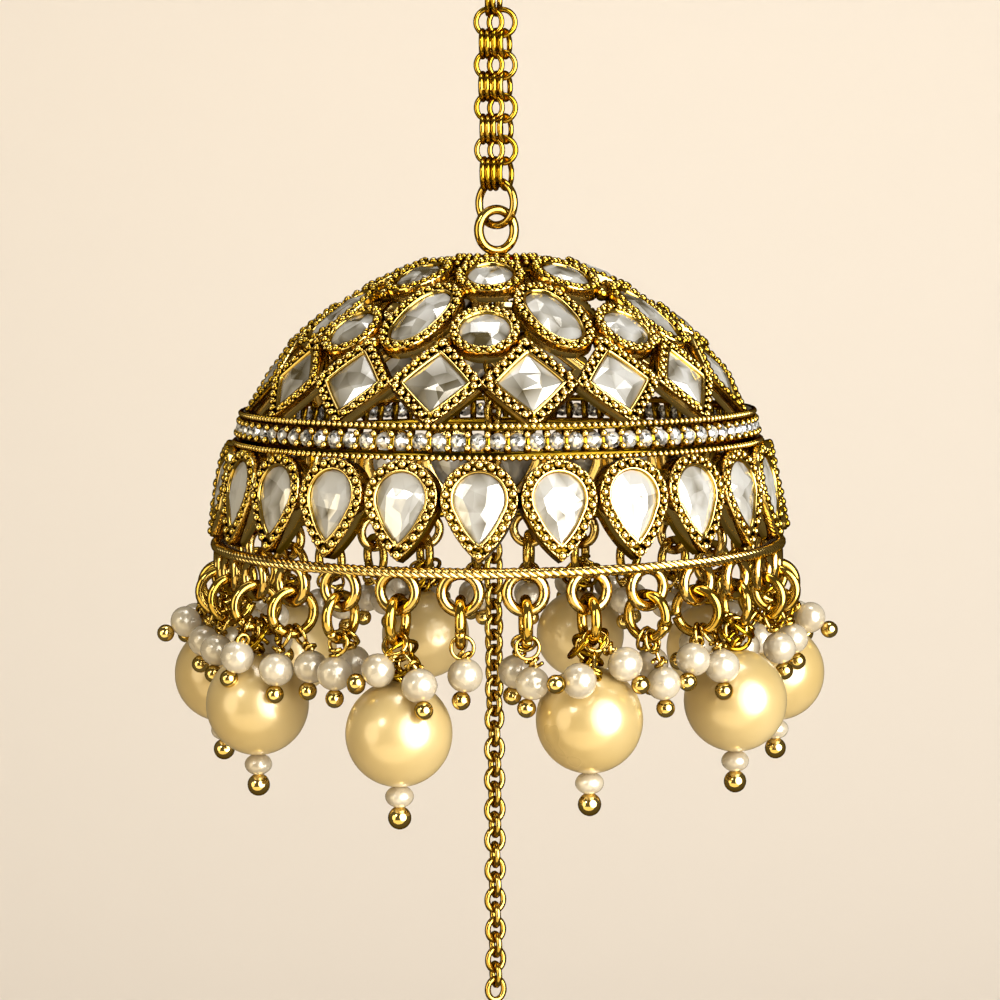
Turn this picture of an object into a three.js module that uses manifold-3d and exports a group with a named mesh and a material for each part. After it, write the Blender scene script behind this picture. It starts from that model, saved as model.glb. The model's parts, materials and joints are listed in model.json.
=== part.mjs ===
// Kalira: a bridal wrist ornament. An openwork dome set with foil-backed stones hangs by a loop from a
// double rolo chain. Pearl drops ring its rim, and a single chain hangs down through it.
// Millimetres, +Z up. The origin is where the top ring rests on whatever carries it. The front is -Y.
import * as THREE from "three";
import { mergeVertices } from "three/addons/utils/BufferGeometryUtils.js";
import Module from "manifold-3d";

const wasm = await Module();
wasm.setup();

// ---- driving dimensions ----
const HANG_RING = { radius: 2.2, wire: 0.5 };
const UPPER_CHAIN = { radius: 2.1, length: 17.3 };
const CONNECTOR = { radius: 2.25, wire: 0.47, turn: -38 };
const TOP_LOOP = { radius: 2.1, squeeze: 0.87, wire: 0.53, turn: 8, height: 31.75 };
const HANG_TO_RIM = 59.9; // from the hanging point down to the rim's middle plane
const CONNECTOR_HEIGHT = 34.5; // heights below here are above the rim's middle plane
const CONTACT_GAP = 0.3;

// The dome's outer surface: height over its foot at a distance from the axis.
const DOME = { radius: 25.7, foot: 13.3, rise: 16.2, bulge: 1.85, crown: 1.43 };
const DOME_TURN = -3.5; // azimuth of the setting that faces forward
const SETTING_DEPTH = 2.0;
const SETTING_ROWS = [
  // inner and outer are distances from the axis at the top and bottom tips, round is the outline's exponent,
  // and lean is how far neighbours tip towards each other and away by turns
  { count: 8, step: 0, inner: 7.0, outer: 13.7, halfWidth: 3.4, sides: 8, round: 2.0 }, // crown
  { count: 8, step: 0.5, inner: 12.4, outer: 21.2, halfWidth: 3.3, sides: 8, round: 2.3, lean: 13 }, // long
  { count: 8, step: 0, inner: 16.3, outer: 21.5, halfWidth: 3.35, sides: 8, round: 2.0 }, // small
  { count: 16, step: 0.5, inner: 20.2, outer: 25.7, halfWidth: 4.8, sides: 4, round: 1.0 }, // squares
];
const SOLDER = [
  { count: 16, step: 0.5, from: 12.7, turn: 2.4, radius: 1.15 }, // crown ovals to long ovals
  { count: 16, step: 0.5, from: 19.7, turn: 0, radius: 1.25 }, // squares to both rows of ovals
];
const CROWN = { radius: 7.7, top: 29.5, thickness: 1.1, fall: 1.1 };
const BAND = { topRadius: 26.1, bottomRadius: 26.8, top: 13.5, bottom: 10.5, wall: 1.6 };
const PEARS = { count: 24, phase: -63.5, halfWidth: 3.7, depth: 2.5, headSides: 8, bulge: 0.3 };
const PEAR_TOP = { radius: 27.6, height: 10.8 };
const PEAR_TIP = { radius: 29.8, height: 0.2 };
const RIM = { outer: 29.5, inner: 27.5, half: 0.5 };
const RING_STEPS = 48; // flats round the band, rim and crown

const RIM_LOOPS = { count: 30, radius: 1.75, wire: 0.52, circle: 28.7, height: -1.85, openAt: 40 };
const FIRST_LOOP_AT = 5; // azimuth of loop 0
const BIG_EVERY = 3; // every third loop, starting at loop 1, carries a large pearl
const JUMP_RING = { radius: 2.08, wire: 0.5, height: -4.56 };
const PIVOT = JUMP_RING.height - JUMP_RING.radius; // middle of a jump ring's lowest wire
const SMALL_PEARL = 1.65;
const PIN = { wire: 0.22, ball: 0.92 };
const BIG_PEARL = { radius: 5.0, bore: 0.45, drop: 7.27 };
const BIG_PIN = { wire: 0.28, eye: 1.15, seedRadius: 1.35, seedHeight: 1.05, ball: 1.1 };

const LOWER_CHAIN = { radius: 1.0, x: -0.5, top: 26.4, bottom: -49.4 };
const INNER_EYE = { radius: 0.85, wire: 0.3, height: 27.6 };

// Turn of a jump ring about the vertical, in degrees, where it doesn't hang square to its loop.
const RING_TURNS = { "-5": -18, "-4": -25, "-3": -5, "-1": 6, 2: 25, 3: 28, 4: -25, 7: 10, "-8": -8 };
// Large pearls that hang lower than the rest.
const LOW_PEARLS = { "-2": 1.25, "-5": 0.25 };

// Small drops that don't hang as the others do. Each pearl's middle is given from the pivot of its loop:
// along the rim, out from the axis and down.
const SMALL_DROPS = [
  { loop: -8, along: 1.4, out: 3.6, down: 1.65 },
  { loop: -8, along: -2.4, out: 3.1, down: 1.8 },
  { loop: -5, along: 2.4, out: 3.5, down: 2.3 },
  { loop: -5, along: -2.0, out: -3.3, down: 1.8 },
  { loop: -4, along: -0.7, out: 1.6, down: 3.35 },
  { loop: -4, along: 2.1, out: -0.3, down: 3.0 },
  { loop: -3, along: -0.3, out: 0.7, down: 3.2 },
  { loop: -3, along: -0.6, out: -2.8, down: 2.6 },
  { loop: -2, along: -1.1, out: 2.3, down: 2.3 },
  { loop: -2, along: 3.2, out: 3.0, down: 3.4 },
  { loop: -1, along: 0.4, out: 0.2, down: 2.85 },
  { loop: 0, along: 0.5, out: 0.9, down: 3.5 },
  { loop: 0, along: -0.7, out: -2.4, down: 2.9 },
  { loop: 1, along: -2.5, out: 4.4, down: 2.8 },
  { loop: 1, along: 2.5, out: 2.9, down: 1.75 },
  { loop: 2, along: 1.2, out: 0.9, down: 4.25 },
  { loop: 2, along: 1.9, out: -2.2, down: 2.8 },
  { loop: 3, along: -1.7, out: 1.2, down: 2.25 },
  { loop: 3, along: 1.2, out: 2.2, down: 3.1 },
  { loop: 4, along: -2.0, out: -3.3, down: 1.8 },
  { loop: 7, along: 0, out: 3.5, down: 1.6 },
  { loop: 7, along: 3.1, out: 2.4, down: 1.8 },
];
const PLAIN_PAIR = [
  { along: 0.3, out: 1.7, down: 2.9 },
  { along: -0.3, out: -1.8, down: 2.9 },
];
const PAIR_OVER_BIG_PEARL = [
  { along: -2.4, out: 3.1, down: 1.8 },
  { along: 2.4, out: 3.1, down: 1.8 },
];

// ---- materials ----
const antiqueGold = { color: 0x9c7a2c, roughness: 0.3, metalness: 1.0 };
const champagnePearl = { color: 0xe9d9a8, roughness: 0.2, metalness: 0.1 };
const paleGold = { color: 0xb8923a, roughness: 0.3, metalness: 1.0 };

// ---- solids ----
const radians = THREE.MathUtils.degToRad;

function solidOf(geometry) {
  const bare = geometry.clone();
  bare.deleteAttribute("normal");
  bare.deleteAttribute("uv");
  const merged = mergeVertices(bare, 1e-4);
  return new wasm.Manifold(
    new wasm.Mesh({
      numProp: 3,
      vertProperties: new Float32Array(merged.attributes.position.array),
      triVerts: new Uint32Array(merged.index.array),
    }),
  );
}

function geometryOf(solid) {
  const mesh = solid.getMesh();
  const geometry = new THREE.BufferGeometry();
  geometry.setAttribute("position", new THREE.BufferAttribute(mesh.vertProperties, 3));
  geometry.setIndex(new THREE.BufferAttribute(mesh.triVerts, 1));
  const flat = geometry.toNonIndexed();
  flat.computeVertexNormals();
  return flat;
}

function joined(geometries) {
  return geometries.map(solidOf).reduce((whole, piece) => whole.add(piece));
}

// A closed ring of round wire with its hole facing -Y, widened along X by stretch.
function wireRing(radius, wire, around, across, stretch = 1) {
  return new THREE.TorusGeometry(radius, wire, across, around).rotateX(Math.PI / 2).scale(stretch, 1, 1);
}

function polygon(radius, sides) {
  const corners = Array.from({ length: sides }, (_, i) => {
    const angle = (2 * Math.PI * i) / sides;
    return new THREE.Vector2(radius * Math.cos(angle), radius * Math.sin(angle));
  });
  return new THREE.Shape(corners);
}

// A ring of revolution about Z from a closed outline of [radius, height] points, listed upwards outside.
function turned(outline, steps) {
  const points = outline.map(([r, z]) => new THREE.Vector2(r, z));
  return new THREE.LatheGeometry([...points, points[0].clone()], steps).rotateX(Math.PI / 2);
}

const domeHeight = (r) =>
  DOME.foot + DOME.rise * Math.pow(1 - Math.pow(Math.min(r / DOME.radius, 1), DOME.bulge), 1 / DOME.crown);

// ---- settings ----
// A setting's outline, 2 * halfWidth wide and 2 * halfHeight tall, as a superellipse.
function roundOutline(halfWidth, halfHeight, sides, round) {
  const outline = new THREE.Shape();
  for (let i = 0; i < sides; i++) {
    const angle = (2 * Math.PI * i) / sides;
    const power = (v) => Math.sign(v) * Math.pow(Math.abs(v), 2 / round);
    const x = halfWidth * power(Math.sin(angle));
    const y = halfHeight * power(Math.cos(angle));
    if (i === 0) outline.moveTo(x, y);
    else outline.lineTo(x, y);
  }
  return outline;
}

// A pear outline: a round head with two slightly full sides running down to a point.
function pearOutline(halfHeight) {
  const radius = PEARS.halfWidth;
  const centre = halfHeight - radius;
  const slant = Math.asin(radius / (halfHeight + centre));
  const outline = new THREE.Shape();
  outline.moveTo(0, -halfHeight);
  for (let i = 0; i <= PEARS.headSides; i++) {
    const angle = -slant + ((Math.PI + 2 * slant) * i) / PEARS.headSides;
    const x = radius * Math.cos(angle);
    const y = centre + radius * Math.sin(angle);
    const full = [
      x / 2 + Math.sign(x) * PEARS.bulge * Math.cos(slant),
      (y - halfHeight) / 2 - PEARS.bulge * Math.sin(slant),
    ];
    if (i === 0) outline.lineTo(...full);
    outline.lineTo(x, y);
    if (i === PEARS.headSides) outline.lineTo(...full);
  }
  return outline;
}

// A box setting whose front spans from a top point to a bottom point of a [radius, height] profile.
function setting(outlineOf, top, bottom, depth, azimuth, lean) {
  const rise = new THREE.Vector3(0, -(top[0] - bottom[0]), top[1] - bottom[1]);
  const halfHeight = rise.length() / 2;
  const box = new THREE.ExtrudeGeometry(outlineOf(halfHeight), { depth, bevelEnabled: false });
  const up = rise.normalize();
  const side = new THREE.Vector3(1, 0, 0);
  const front = new THREE.Vector3().crossVectors(side, up);
  const basis = new THREE.Matrix4().makeBasis(side, up, front);
  const middle = new THREE.Vector3(0, -(top[0] + bottom[0]) / 2, (top[1] + bottom[1]) / 2);
  return box
    .translate(0, 0, -depth)
    .rotateZ(radians(lean))
    .applyMatrix4(basis)
    .translate(middle.x, middle.y, middle.z)
    .rotateZ(radians(azimuth));
}

function domeSettings() {
  return SETTING_ROWS.flatMap(({ count, step, inner, outer, halfWidth, sides, round, lean = 0 }) =>
    Array.from({ length: count }, (_, i) =>
      setting(
        (halfHeight) => roundOutline(halfWidth, halfHeight, sides, round),
        [inner, domeHeight(inner)],
        [outer, domeHeight(outer)],
        SETTING_DEPTH,
        DOME_TURN + ((i + step) * 360) / count,
        i % 2 === 0 ? lean : -lean,
      ),
    ),
  );
}

function solderBeads() {
  return SOLDER.flatMap((row) =>
    Array.from({ length: row.count }, (_, i) => {
      const away = row.turn * (i % 2 === 0 ? 1 : -1);
      const azimuth = radians(DOME_TURN + ((i + row.step) * 360) / row.count + away);
      const sunk = domeHeight(row.from) - SETTING_DEPTH / 2;
      const place = new THREE.Vector3(row.from * Math.sin(azimuth), -row.from * Math.cos(azimuth), sunk);
      return new THREE.OctahedronGeometry(row.radius, 0).translate(place.x, place.y, place.z);
    }),
  );
}

function pearFrieze() {
  return Array.from({ length: PEARS.count }, (_, i) =>
    setting(
      pearOutline,
      [PEAR_TOP.radius, PEAR_TOP.height],
      [PEAR_TIP.radius, PEAR_TIP.height],
      PEARS.depth,
      PEARS.phase + (i * 360) / PEARS.count,
      0,
    ),
  );
}

function crownDisc() {
  const outline = [
    [0, CROWN.top - CROWN.thickness],
    [CROWN.radius, CROWN.top - CROWN.thickness - CROWN.fall],
    [CROWN.radius, CROWN.top - CROWN.fall],
    [0, CROWN.top],
  ].map(([r, z]) => new THREE.Vector2(r, z));
  return new THREE.LatheGeometry(outline, 24).rotateX(Math.PI / 2);
}

function band() {
  return turned(
    [
      [BAND.bottomRadius - BAND.wall, BAND.bottom],
      [BAND.bottomRadius, BAND.bottom],
      [BAND.topRadius, BAND.top],
      [BAND.topRadius - BAND.wall, BAND.top],
    ],
    RING_STEPS,
  );
}

function rim() {
  return turned(
    [
      [RIM.inner, -RIM.half],
      [RIM.outer, -RIM.half],
      [RIM.outer, RIM.half],
      [RIM.inner, RIM.half],
    ],
    RING_STEPS,
  );
}

const loopAzimuth = (loop) => FIRST_LOOP_AT + (loop * 360) / RIM_LOOPS.count;

// A loop of wire below the rim, open at its top, where it is soldered in.
class LoopRoute extends THREE.Curve {
  getPoint(t, target = new THREE.Vector3()) {
    const angle = radians(RIM_LOOPS.openAt + t * (360 - 2 * RIM_LOOPS.openAt));
    const side = RIM_LOOPS.radius * Math.sin(angle);
    const rise = RIM_LOOPS.radius * Math.cos(angle);
    return target.set(side, -RIM_LOOPS.circle, RIM_LOOPS.height + rise);
  }
}

function rimLoops() {
  const section = polygon(RIM_LOOPS.wire, 4);
  const loop = new THREE.ExtrudeGeometry(section, { steps: 7, extrudePath: new LoopRoute() });
  return Array.from({ length: RIM_LOOPS.count }, (_, i) => loop.clone().rotateZ(radians(loopAzimuth(i))));
}

function topLoop() {
  return wireRing(TOP_LOOP.radius, TOP_LOOP.wire, 14, 5, TOP_LOOP.squeeze)
    .rotateZ(radians(TOP_LOOP.turn))
    .translate(0, 0, TOP_LOOP.height);
}

function innerEye() {
  return wireRing(INNER_EYE.radius, INNER_EYE.wire, 8, 4).translate(LOWER_CHAIN.x, 0, INNER_EYE.height);
}

function domeSolid() {
  return joined([
    crownDisc(),
    ...domeSettings(),
    ...solderBeads(),
    band(),
    ...pearFrieze(),
    rim(),
    ...rimLoops(),
    topLoop(),
    innerEye(),
  ]);
}

// ---- drops, in the frame of their loop: +X along the rim, -Y outwards ----
const onLoop = (along, out, down) => new THREE.Vector3(along, -RIM_LOOPS.circle - out, PIVOT - down);

// Points of a sphere's profile between its poles, as [radius, height].
function arc(middle, radius, steps) {
  return Array.from({ length: steps }, (_, i) => {
    const angle = (Math.PI * (i + 1)) / (steps + 1);
    return [radius * Math.sin(angle), middle - radius * Math.cos(angle)];
  });
}

// A small drop hangs straight from its ring: a thin pin through a pearl, with a ball end.
function smallDrop({ along, out, down }) {
  const pivot = onLoop(0, 0, 0);
  const pearl = onLoop(along, out, down);
  const reach = pearl.distanceTo(pivot);
  const end = reach + SMALL_PEARL + PIN.ball;
  const outline = [
    [0, 0],
    [PIN.wire, reach - SMALL_PEARL],
    ...arc(reach, SMALL_PEARL, 3),
    [PIN.wire, end - PIN.ball],
    ...arc(end, PIN.ball, 1),
    [0, end + PIN.ball],
  ].map(([r, y]) => new THREE.Vector2(r, y));
  const way = new THREE.Vector3().subVectors(pearl, pivot).normalize();
  return new THREE.LatheGeometry(outline, 6)
    .applyQuaternion(new THREE.Quaternion().setFromUnitVectors(new THREE.Vector3(0, 1, 0), way))
    .translate(pivot.x, pivot.y, pivot.z);
}

function jumpRing(turn) {
  const cornerAtFoot = Math.PI / 2;
  return new THREE.TorusGeometry(JUMP_RING.radius, JUMP_RING.wire, 4, 10)
    .rotateZ(cornerAtFoot)
    .rotateX(Math.PI / 2)
    .rotateZ(Math.PI / 2 + radians(turn))
    .translate(0, -RIM_LOOPS.circle, JUMP_RING.height);
}

const carriesBigPearl = (loop) => (((loop - 1) % BIG_EVERY) + BIG_EVERY) % BIG_EVERY === 0;

function ringWithSmallDrops(loop) {
  const own = SMALL_DROPS.filter((row) => row.loop === loop);
  const usual = carriesBigPearl(loop) ? PAIR_OVER_BIG_PEARL : PLAIN_PAIR;
  const drops = own.length > 0 ? own : usual;
  return joined([jumpRing(RING_TURNS[loop] ?? 0), ...drops.map(smallDrop)]);
}

function bigPearl(low) {
  const outline = [];
  const end = Math.asin(BIG_PEARL.bore / BIG_PEARL.radius);
  const steps = 7;
  for (let i = 0; i <= steps; i++) {
    const angle = end + ((Math.PI - 2 * end) * i) / steps;
    outline.push([BIG_PEARL.radius * Math.sin(angle), -BIG_PEARL.radius * Math.cos(angle)]);
  }
  const centre = onLoop(0, 0, BIG_PEARL.drop + low);
  return turned(outline, 12).translate(centre.x, centre.y, centre.z);
}

// The pin runs down through the pearl: an eye in the jump ring above, a seed pearl and a ball end below.
function bigPearlPin(low) {
  const pearlFoot = BIG_PEARL.drop + low + BIG_PEARL.radius;
  const seed = pearlFoot + BIG_PIN.seedHeight + CONTACT_GAP / 2;
  const end = seed + BIG_PIN.seedHeight + 0.9 * BIG_PIN.ball;
  const hold = JUMP_RING.wire + BIG_PIN.wire + CONTACT_GAP / 2;
  const eyeCentre = onLoop(0, 0, BIG_PIN.eye - hold);
  const eye = wireRing(BIG_PIN.eye, BIG_PIN.wire, 8, 4).translate(eyeCentre.x, eyeCentre.y, eyeCentre.z);
  const squash = BIG_PIN.seedHeight / BIG_PIN.seedRadius;
  const outline = [
    [0, 2 * BIG_PIN.eye - hold],
    [BIG_PIN.wire, 2 * BIG_PIN.eye - hold],
    [BIG_PIN.wire, seed - BIG_PIN.seedHeight],
    ...arc(seed / squash, BIG_PIN.seedRadius, 3).map(([r, y]) => [r, y * squash]),
    [BIG_PIN.wire, seed + BIG_PIN.seedHeight],
    ...arc(end, BIG_PIN.ball, 3),
    [0, end + BIG_PIN.ball],
  ].map(([r, y]) => new THREE.Vector2(r, y));
  const top = onLoop(0, 0, 0);
  const pin = new THREE.LatheGeometry(outline, 8).rotateX(-Math.PI / 2).translate(top.x, top.y, top.z);
  return joined([eye, pin]);
}

// ---- chains ----
function tube(top, bottom, radius, sides) {
  const route = new THREE.LineCurve3(top, bottom);
  return new THREE.ExtrudeGeometry(polygon(radius, sides), { steps: 1, extrudePath: route });
}

// ---- assembly ----
const group = new THREE.Group();
const pendant = new THREE.Group();
pendant.position.z = -HANG_TO_RIM;
group.add(pendant);

function add(parent, name, geometry, finish) {
  const mesh = new THREE.Mesh(geometry, new THREE.MeshStandardMaterial(finish));
  mesh.name = name;
  parent.add(mesh);
  return mesh;
}

const hangRing = add(group, "hang_ring", wireRing(HANG_RING.radius, HANG_RING.wire, 16, 6), antiqueGold);
hangRing.position.z = -(HANG_RING.radius - HANG_RING.wire);

const chainTop = -2 * HANG_RING.radius - CONTACT_GAP;
const upperTube = tube(
  new THREE.Vector3(0, 0, chainTop),
  new THREE.Vector3(0, 0, chainTop - UPPER_CHAIN.length),
  UPPER_CHAIN.radius,
  10,
);
add(group, "upper_chain", upperTube, antiqueGold);

const connectorRing = wireRing(CONNECTOR.radius, CONNECTOR.wire, 16, 6);
const connector = add(pendant, "connector_ring", connectorRing, antiqueGold);
connector.position.z = CONNECTOR_HEIGHT;
connector.rotation.z = radians(CONNECTOR.turn);

add(pendant, "dome", geometryOf(domeSolid()), antiqueGold);

const lowerTube = tube(
  new THREE.Vector3(LOWER_CHAIN.x, 0, LOWER_CHAIN.top),
  new THREE.Vector3(LOWER_CHAIN.x, 0, LOWER_CHAIN.bottom),
  LOWER_CHAIN.radius,
  8,
);
add(pendant, "lower_chain", lowerTube, antiqueGold);

const lastLoop = RIM_LOOPS.count / 2 - 1;
for (let loop = lastLoop - RIM_LOOPS.count + 1; loop <= lastLoop; loop++) {
  const label = String((loop + RIM_LOOPS.count) % RIM_LOOPS.count).padStart(2, "0");
  const turn = radians(loopAzimuth(loop));
  const ring = add(pendant, `drop_ring_${label}`, geometryOf(ringWithSmallDrops(loop)), paleGold);
  ring.rotation.z = turn;
  if (!carriesBigPearl(loop)) continue;
  const low = LOW_PEARLS[loop] ?? 0;
  add(pendant, `big_pearl_${label}`, bigPearl(low), champagnePearl).rotation.z = turn;
  add(pendant, `big_pearl_pin_${label}`, geometryOf(bigPearlPin(low)), paleGold).rotation.z = turn;
}

export default group;
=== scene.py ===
"""The looks of a kalira: an openwork jewelled dome on a chain, with pearl drops round its rim.

Shapes are made in millimetres. Heights are measured from the rim's middle plane, and azimuths in degrees
from the front (-Y), positive to the right.
"""

import json
import math

import bpy
import numpy as np
from mathutils import Matrix, Vector


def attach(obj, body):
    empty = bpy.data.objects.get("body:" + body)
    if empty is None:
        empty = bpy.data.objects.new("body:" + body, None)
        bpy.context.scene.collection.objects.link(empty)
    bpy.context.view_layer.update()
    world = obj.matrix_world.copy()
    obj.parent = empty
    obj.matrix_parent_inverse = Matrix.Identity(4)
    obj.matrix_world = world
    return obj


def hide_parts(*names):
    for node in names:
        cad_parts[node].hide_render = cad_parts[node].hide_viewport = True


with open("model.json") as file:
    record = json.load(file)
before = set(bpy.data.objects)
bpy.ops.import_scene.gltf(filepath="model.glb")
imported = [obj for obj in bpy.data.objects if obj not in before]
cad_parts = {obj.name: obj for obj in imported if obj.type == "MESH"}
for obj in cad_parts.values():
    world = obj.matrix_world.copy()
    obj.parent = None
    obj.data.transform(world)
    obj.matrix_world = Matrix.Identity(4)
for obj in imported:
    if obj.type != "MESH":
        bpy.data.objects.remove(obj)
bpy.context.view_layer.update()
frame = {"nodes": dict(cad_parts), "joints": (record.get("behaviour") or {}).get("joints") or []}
rng = np.random.default_rng(7)

MM = 0.001

# ---- dimensions ----
CONNECTOR = {"radius": 2.25, "wire": 0.47, "turn": -38.0, "height": 34.5}
TOP_LOOP = {"radius": 2.1, "squeeze": 0.87, "wire": 0.53, "turn": 8.0, "height": 31.75}
HANG_RING = {"radius": 2.2, "wire": 0.5}
# These two wires are finer than in the CAD model, to clear each other at the ends of the swing.
FINER_CONNECTOR = 0.05
FINER_TOP_LOOP = 0.02
PIVOT_Z = frame["joints"][0]["pos_m"][2] / MM
RIM_Z = PIVOT_Z - (CONNECTOR["height"] - CONNECTOR["radius"])  # of the rim's middle plane in the part's frame

DOME = {"radius": 25.7, "foot": 13.3, "rise": 16.2, "bulge": 1.85, "crown": 1.43}
DOME_TURN = -3.5
SETTING_DEPTH = 1.3  # shallower than in the CAD model, like the pears', so that the same gaps show
SETTING_LIP = 0.1
# Circles of solder beads: (distance from the dome's axis, degrees to either side, bead radius).
SOLDER = [(12.7, 2.4, 0.713), (19.7, 0.0, 0.775)]
SOLDER_COUNT = 16
SOLDER_DEPTH = 1.0
ROWS = [
    # count, half step, inner and outer tip, half width, outline exponent, border, stone sides, lean, lift
    (8, 0.0, 7.0, 13.7, 3.4, 2.0, 1.2, 16, 0.0, 0.3),  # crown ovals
    (8, 0.5, 12.5, 21.1, 3.2, 2.25, 1.2, 16, 13.0, 0.0),  # long ovals
    (8, 0.0, 16.3, 21.5, 3.35, 2.0, 0.95, 16, 0.0, 0.0),  # small ovals
    (16, 0.5, 20.2, 25.7, 4.7, 1.05, 1.2, 8, 0.0, 0.0),  # squares
]
# The crown's cap: an outline of (radius, height), its tones, which paint shade underneath and light towards
# the top, and its circles of (radius, height, beads).
CROWN = [(0.02, 28.0), (6.9, 27.0), (7.1, 27.5), (6.8, 27.9), (4.6, 28.7), (2.5, 29.2), (0.02, 29.4)]
CROWN_LIGHT_AND_SHADE_TONES = [0.1, 0.1, 0.2, 0.4, 0.45, 0.6, 0.7]
CROWN_BEADS = [(6.3, 28.35, 38), (5.1, 28.8, 31), (3.9, 29.1, 24)]
INNER_EYE = {"radius": 1.0, "wire": 0.26, "height": 27.6}
BAND = {"top_radius": 26.1, "bottom_radius": 26.8, "top": 13.5, "bottom": 10.5}
BAND_MIDDLE = (BAND["top"] + BAND["bottom"]) / 2
BAND_STONES = {"count": 90, "radius": 0.8, "half_height": 0.72}
BAND_BARS = {"wire": 0.36, "half_height": 1.1, "sunk": 0.38}  # between the stones
PRONGS = {"radius": 0.36, "from_middle": 0.6}  # on the bars
BAND_RAILS = [(10.3, 11.05), (12.95, 13.6)]  # lowest and highest points
BAND_BEADS = {"heights": (10.46, 13.38), "count": 250, "radius": 0.31}
BAND_BEAD_LIFT = 0.1
PEARS = {"count": 24, "phase": -63.5, "round": 3.6, "tip": 35.0, "bulge": 0.3, "depth": 1.8, "border": 1.2}
PEAR_TOP = (27.6, 10.8)  # radius, height
PEAR_TIP = (29.8, 0.2)
RIM_HOOP = [(27.9, -0.4), (28.75, -0.4), (28.75, 0.3), (27.9, 0.3)]  # outline of (radius, height)
ROPE = {"radius": 29.0, "strand": 0.25, "lay": 0.31, "turns": 62}

LOOPS = {"count": 30, "radius": 1.75, "wire": 0.54, "circle": 28.7, "height": -1.85}
FIRST_LOOP_AT = 5.0
JUMP_RING = {"radius": 2.08, "wire": 0.5, "height": -4.56}
PIVOT = JUMP_RING["height"] - JUMP_RING["radius"]
SMALL_PEARL = 1.65
BALL = 0.9
PIN_WIRE = 0.2
SMALL_EYE = 1.06
BIG_PEARL = {"radius": 5.0, "drop": 7.27}
BIG_PIN_WIRE = 0.26
BIG_EYE = 1.2
# Loose coils over a large pearl: (radius, turns, lowest and highest point).
NEST = [(0.75, 2.0, 0.3, 1.2), (1.65, 1.25, 0.8, 2.1), (1.95, 1.1, 1.7, 2.9)]
NEST_WIRE = 0.23
SEED = {"radius": 1.35, "height": 1.05, "ball": 1.1}
# By loop, how many degrees its jump ring is turned, and how much lower its large pearl hangs.
RING_TURNS = {-5: -18, -4: -25, -3: -5, -1: 6, 2: 25, 3: 28, 4: -25, 7: 10, -8: -8}
LOW_PEARLS = {-2: 1.25, -5: 0.25}

# Small drops by loop: each pearl's middle from the pivot (along the rim, outwards, down) and the way its pin
# points (along the rim, outwards, up).
SMALL_DROPS = {
    -8: [((1.4, 3.6, 1.65), (0.2, 0.9, -0.5)), ((-2.4, 3.1, 1.8), (-0.4, 0.5, -0.8))],
    -5: [((2.4, 3.5, 2.3), (-0.35, 0.2, -0.9)), ((-2.0, -3.3, 1.8), (-0.3, -0.6, -0.7))],
    -4: [((-0.7, 1.6, 3.35), (0.05, 0.15, -1)), ((2.1, -0.3, 3.0), (-0.1, 0.1, -1))],
    -3: [((-0.3, 0.7, 3.2), (0.05, 0.1, -1)), ((-0.6, -2.8, 2.6), (0, -0.2, -1))],
    -2: [((-1.1, 2.3, 2.3), (-0.85, 0.25, -0.5)), ((3.2, 3.0, 3.4), (0.3, 0.3, -0.95))],
    -1: [((0.4, 0.2, 2.85), (-0.15, 0.1, -1))],
    0: [((0.5, 0.9, 3.5), (-0.25, 0.1, -1)), ((-0.7, -2.4, 2.9), (-0.15, -0.1, -1))],
    1: [((-2.5, 4.4, 2.8), (-0.95, 0.15, -0.05)), ((2.5, 2.9, 1.75), (0.5, 0.3, -0.75))],
    2: [((1.2, 0.9, 4.25), (0.05, 0.1, -1)), ((1.9, -2.2, 2.8), (0.1, -0.2, -1))],
    3: [((-1.7, 1.2, 2.25), (-0.5, 0.2, -0.8)), ((1.2, 2.2, 3.1), (-0.1, 0.2, -1))],
    4: [((-2.0, -3.3, 1.8), (-0.3, -0.6, -0.7))],
    7: [((0.0, 3.5, 1.6), (0, 0.8, -0.5)), ((3.1, 2.4, 1.8), (0.3, 0.4, -0.8))],
}
PLAIN_PAIR = [((0.3, 1.7, 2.9), (0.1, 0.2, -1)), ((-0.3, -1.8, 2.9), (-0.1, -0.15, -1))]
PAIR_OVER_BIG_PEARL = [((-2.4, 3.1, 1.8), (-0.4, 0.5, -0.8)), ((2.4, 3.1, 1.8), (0.4, 0.5, -0.8))]

UPPER_LINK = {"radius": 1.31, "wire": 0.29, "first": 39.87, "pitch": 2.14, "levels": 7}
UPPER_ENDS = {"bottom": (37.5, 1.5), "top": (55.15, 1.6)}  # heights and radii of the end links
# Links of one level of the upper chain: (to the right, back, turn).
WIDE_LEVEL = [(-0.67, -0.27, -6.0), (0.67, 0.27, -4.0)]
NARROW_LEVEL = [(-1.32, 0.0, 84.0), (-0.76, 0.0, 86.0), (0.08, 0.0, 75.0), (0.95, 0.0, 66.0)]
END_LEVEL = [(-1.2, 0.0, 82.0), (-0.62, 0.0, 80.0), (-0.06, 0.0, 78.0), (0.95, 0.0, 66.0)]
LOWER_LINK = {"radius": 1.14, "squeeze": 0.78, "wire": 0.33, "pitch": 1.6}
LOWER_CHAIN = {"x": -0.5, "top": 26.05, "bottom": -48.0}
UNTWIST = {"start": -13, "over": 9, "turn": 24}  # where the lower chain leaves the dome
CAMERA = {"lens": 90.7, "shift": 0.002, "distance": 258.8, "height": 28.4, "pitch": 5.37, "roll": -0.3}
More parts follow.
